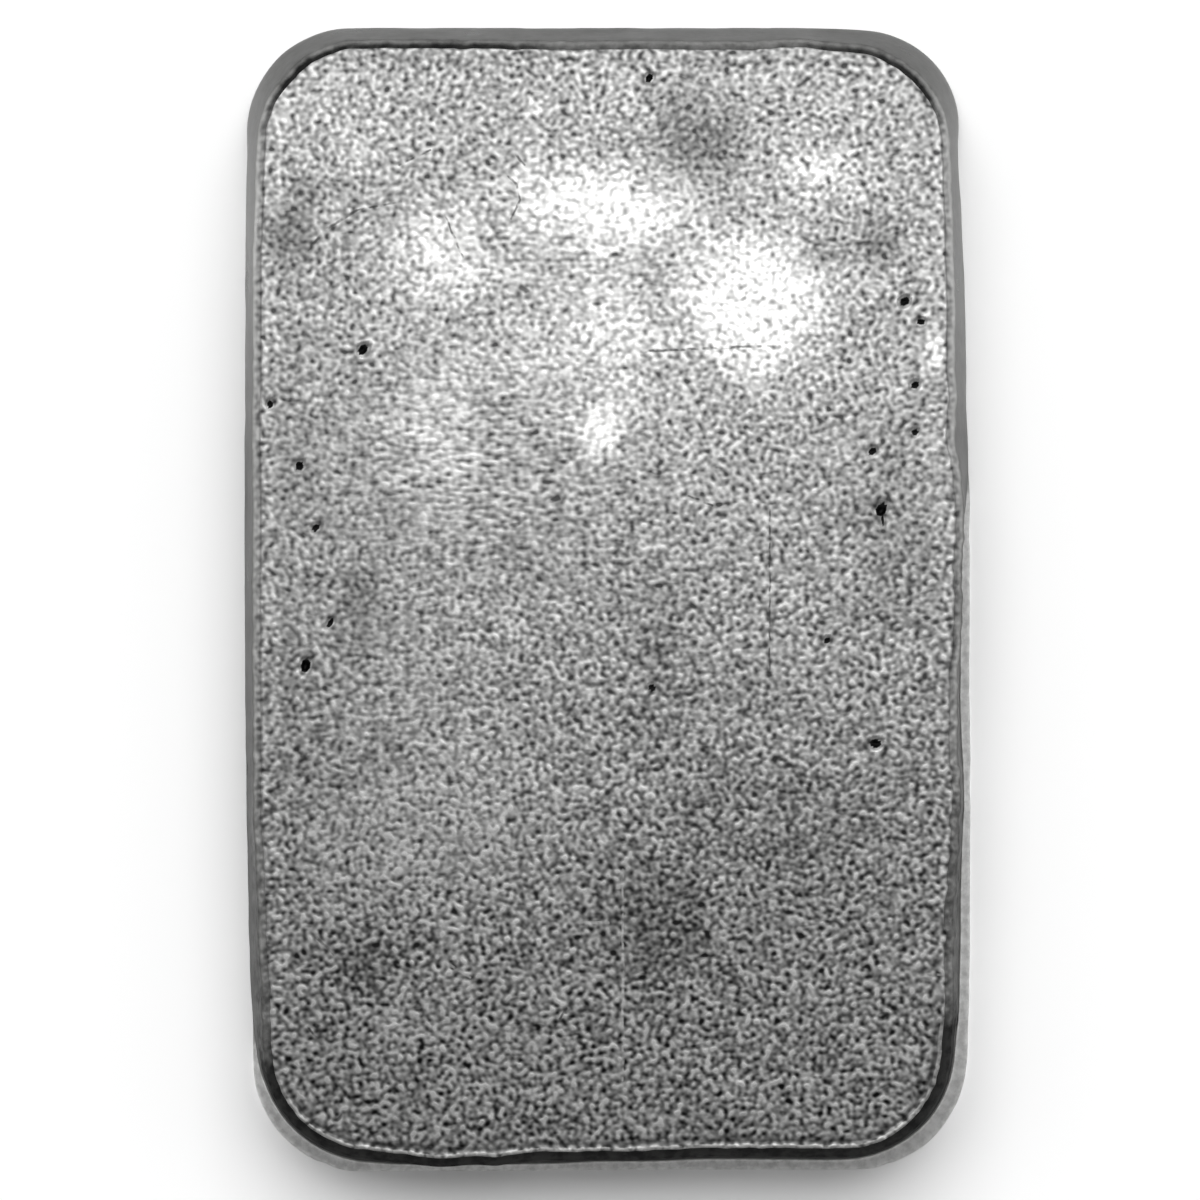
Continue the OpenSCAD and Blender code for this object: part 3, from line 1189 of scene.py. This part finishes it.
def make_world():
    """A pale room, darker straight overhead and above the front. The camera sees it white."""
    world = bpy.data.worlds.new("studio")
    bpy.context.scene.world = world
    world.use_nodes = True
    world.node_tree.nodes.clear()
    graph = Graph(world.node_tree)
    direction = graph.add("ShaderNodeTexCoord").outputs["Generated"]
    split = graph.add("ShaderNodeSeparateXYZ", {"Vector": direction})
    ray = graph.add("ShaderNodeLightPath")
    from_matt = ray.outputs["Is Diffuse Ray"]
    front = graph.blend(from_matt, FRONT_FOR_METAL, FRONT_FOR_MATT)
    to_rear = graph.ramp(split.outputs["Y"], -0.35, 0.10, front, REAR)
    horizon = graph.ramp(split.outputs["Z"], 0.30, 0.60, 1.0, 0.0)
    horizon = graph.math("MULTIPLY", horizon, graph.math("SUBTRACT", 1.0, from_matt))
    around = graph.blend(horizon, to_rear, HORIZON_FOR_METAL)
    up = graph.ramp(split.outputs["Z"], 0.72, 1.0, 1.0, OVERHEAD_SHARE)
    strength = graph.math("MULTIPLY", around, up)
    strength = graph.blend(ray.outputs["Is Camera Ray"], strength, 1.0)
    background = graph.add("ShaderNodeBackground", {"Strength": strength})
    background.inputs["Color"].default_value = (1, 1, 1, 1)
    out = graph.add("ShaderNodeOutputWorld")
    graph.tree.links.new(background.outputs[0], out.inputs["Surface"])


def make_key():
    """A small soft light overhead, a little to the rear, for the glare on the mould face."""
    light = bpy.data.lights.new("key", "AREA")
    light.shape = "RECTANGLE"
    light.size = 0.09
    light.size_y = 0.07
    light.energy = 0.06
    key = bpy.data.objects.new("key", light)
    key.visible_camera = False
    link_aimed(key, place_m=(0.010, 0.050, 0.30), target_m=(0.005, 0.025, 0.008))


def make_floor():
    size_m = 4.0
    mesh = bpy.data.meshes.new("floor")
    corners = [(x * size_m, y * size_m, 0) for x, y in ((-1, -1), (1, -1), (1, 1), (-1, 1))]
    mesh.from_pydata(corners, [], [(0, 1, 2, 3)])
    floor = bpy.data.objects.new("floor", mesh)
    bpy.context.scene.collection.objects.link(floor)
    material = bpy.data.materials.new("floor")
    material.use_nodes = True
    shader = material.node_tree.nodes["Principled BSDF"]
    shader.inputs["Base Color"].default_value = (0.9, 0.9, 0.9, 1)
    shader.inputs["Roughness"].default_value = 0.7
    shader.inputs["Specular IOR Level"].default_value = 0.1
    mesh.materials.append(material)
    return floor


def make_floor_light(floor):
    """A wide soft light from above and behind that falls on the floor alone."""
    light = bpy.data.lights.new("floor_light", "SUN")
    light.energy = 2.6
    light.angle = math.radians(60)
    sun = bpy.data.objects.new("floor_light", light)
    lit = bpy.data.collections.new("lit_floor")
    lit.objects.link(floor)
    sun.light_linking.receiver_collection = lit
    link_aimed(sun, place_m=(0.0, 0.5, 0.8), target_m=(0.0, 0.0, 0.0))


def make_camera():
    """A camera straight above, whose view is view_width across at the foot of the ingot."""
    view_width = 82.5
    height_m = 0.80
    centre_x = -0.55
    centre_y = -0.03
    camera = bpy.data.cameras.new("camera")
    camera.sensor_width = 36.0
    camera.lens = camera.sensor_width * height_m / (view_width * MM)
    obj = bpy.data.objects.new("camera", camera)
    obj.location = (centre_x * MM, centre_y * MM, height_m)
    bpy.context.scene.collection.objects.link(obj)
    bpy.context.scene.camera = obj


def make_studio():
    bpy.context.scene.view_settings.view_transform = "Standard"
    make_world()
    make_key()
    make_floor_light(make_floor())


make_camera()
make_studio()
ingot = build_ingot()
for material in (face_material(), wall_material(), pour_material()):
    ingot.data.materials.append(material)
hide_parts("ingot")
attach(ingot, "root")
